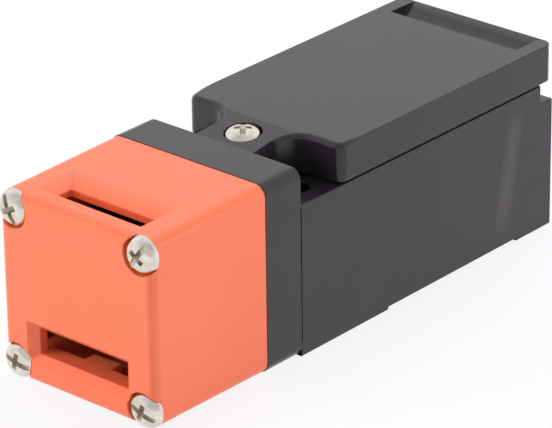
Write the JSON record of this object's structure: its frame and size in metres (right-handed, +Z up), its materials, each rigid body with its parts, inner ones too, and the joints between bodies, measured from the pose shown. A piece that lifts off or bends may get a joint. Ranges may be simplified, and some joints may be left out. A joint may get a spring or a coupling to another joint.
{
  "type": "safety interlock switch",
  "caption": "Key-operated safety interlock switch: orange head with a front and a top key slot, black body with contacts, screwed terminal cover and rear cable entry.",
  "frame": {"origin": "centre of the footprint, in the plane of the feet on which the switch is screwed down", "axes": "+Y from the key head to the cable entry, +Z up through the terminal cover, +X to the right seen from the head"},
  "size_m": [0.03, 0.0926, 0.0313],
  "materials": {
    "orange_plastic": "satin moulded",
    "black_plastic": "satin moulded",
    "grey_plastic": "moulded",
    "dark_plastic": "moulded",
    "white_plastic": "moulded",
    "rubber": "matt",
    "nickel_steel": "bright nickel plate",
    "zinc_steel": "zinc plate",
    "brass": "stamped",
    "spring_steel": "drawn wire"
  },
  "bodies": {
    "housing": {"head_housing": "orange_plastic", "head_screw_1": "nickel_steel", "head_screw_2": "nickel_steel", "head_screw_3": "nickel_steel", "head_screw_4": "nickel_steel", "cam_carrier": "grey_plastic", "cam_axle": "nickel_steel", "head_seal": "rubber", "plunger_seal": "rubber", "body_housing": "black_plastic", "terminal_cover": "black_plastic", "cover_screw": "nickel_steel", "cover_gasket": "rubber", "contact_base": "grey_plastic", "terminal_1": "brass", "terminal_2": "brass", "terminal_3": "brass", "terminal_4": "brass", "terminal_clamp_1": "zinc_steel", "terminal_clamp_2": "zinc_steel", "terminal_clamp_3": "zinc_steel", "terminal_clamp_4": "zinc_steel", "terminal_screw_1": "zinc_steel", "terminal_screw_2": "zinc_steel", "terminal_screw_3": "zinc_steel", "terminal_screw_4": "zinc_steel"},
    "cam": {"cam_rotor": "dark_plastic"},
    "plunger_set": {"plunger": "white_plastic", "contact_carriage": "white_plastic", "contact_bridge_1": "brass", "contact_bridge_2": "brass", "contact_spring_1": "spring_steel", "contact_spring_2": "spring_steel", "return_spring": "spring_steel"}
  },
  "joints": [
    {"name": "cam_turn", "type": "hinge", "parent": "housing", "child": "cam", "pos_m": [0, -0.03275, 0.0152], "axis": [1, 0, 0], "range_deg": [0, 70]},
    {"name": "plunger_slide", "type": "slide", "parent": "housing", "child": "plunger_set", "axis": [0, -1, 0], "range_m": [0, 0.0035], "deforming": ["return_spring"]}
  ],
  "couplings": [
    {"joint": "plunger_slide", "follows": "cam_turn", "m_per_rad": 0.0028648}
  ]
}
